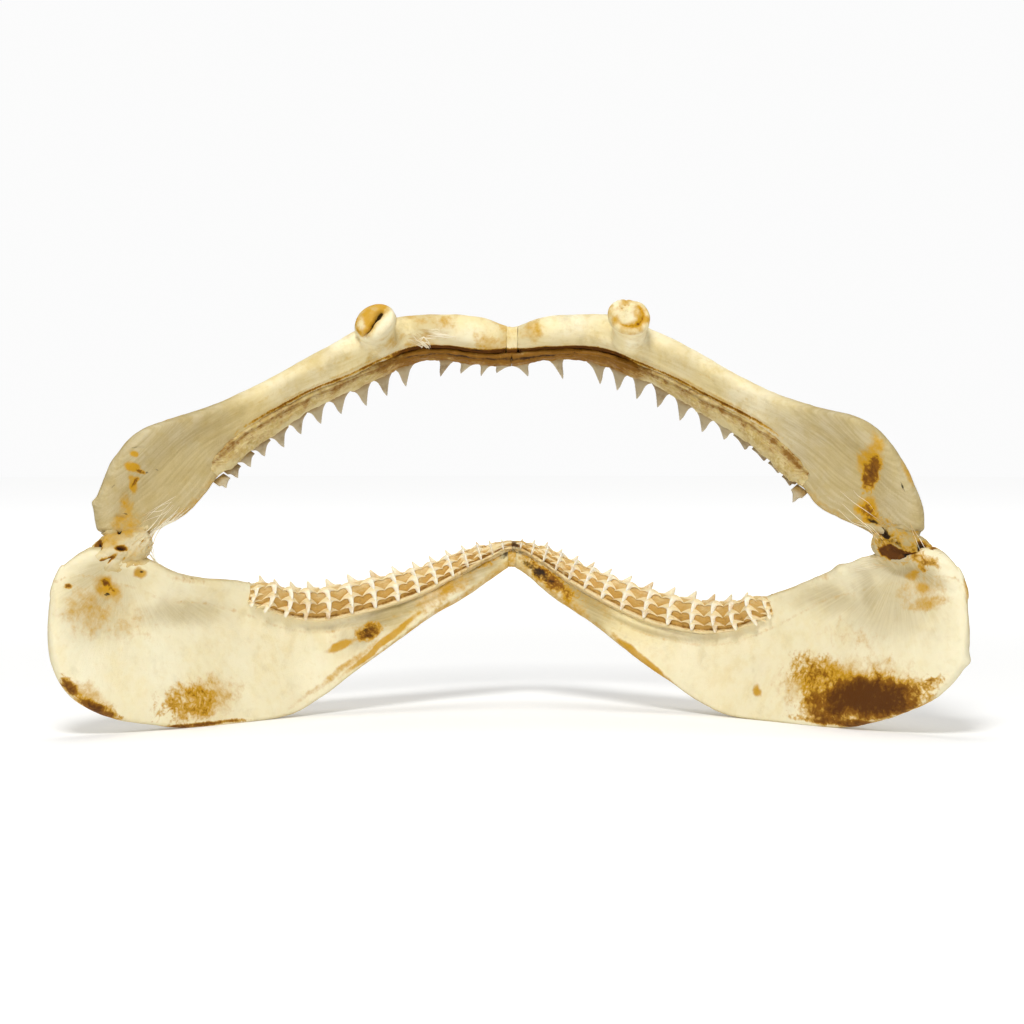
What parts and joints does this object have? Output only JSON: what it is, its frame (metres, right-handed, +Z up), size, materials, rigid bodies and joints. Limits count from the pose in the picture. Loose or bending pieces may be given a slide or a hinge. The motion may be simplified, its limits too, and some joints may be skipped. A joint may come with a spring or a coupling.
{
  "type": "silky shark jaw",
  "caption": "Dried shark jaw with the mouth open, standing on its lower edges: curved cartilage halves, rows of pointed teeth and shrunken joint tissue.",
  "frame": {"origin": "middle of the footprint at floor level, under the middle of the bounding box", "axes": "+X to the side that is on the right of the picture, +Y forwards to the symphysis and away from the picture's camera, +Z up"},
  "size_m": [0.2969, 0.1163, 0.1437],
  "materials": {
    "cartilage": "dried cream cartilage with amber and brown stains, satin",
    "gum_and_teeth": "dried brown gum with pale tan teeth, satin",
    "ligament": "dried fibrous ligament, dull"
  },
  "bodies": {
    "root": {"lower_cartilage_left": "cartilage", "upper_cartilage_left": "cartilage", "lower_teeth_left": "gum_and_teeth", "upper_teeth_left": "gum_and_teeth", "joint_capsule_left": "ligament", "lower_cartilage_right": "cartilage", "upper_cartilage_right": "cartilage", "lower_teeth_right": "gum_and_teeth", "upper_teeth_right": "gum_and_teeth", "joint_capsule_right": "ligament", "lower_symphysis": "ligament", "upper_symphysis": "ligament"}
  },
  "joints": []
}
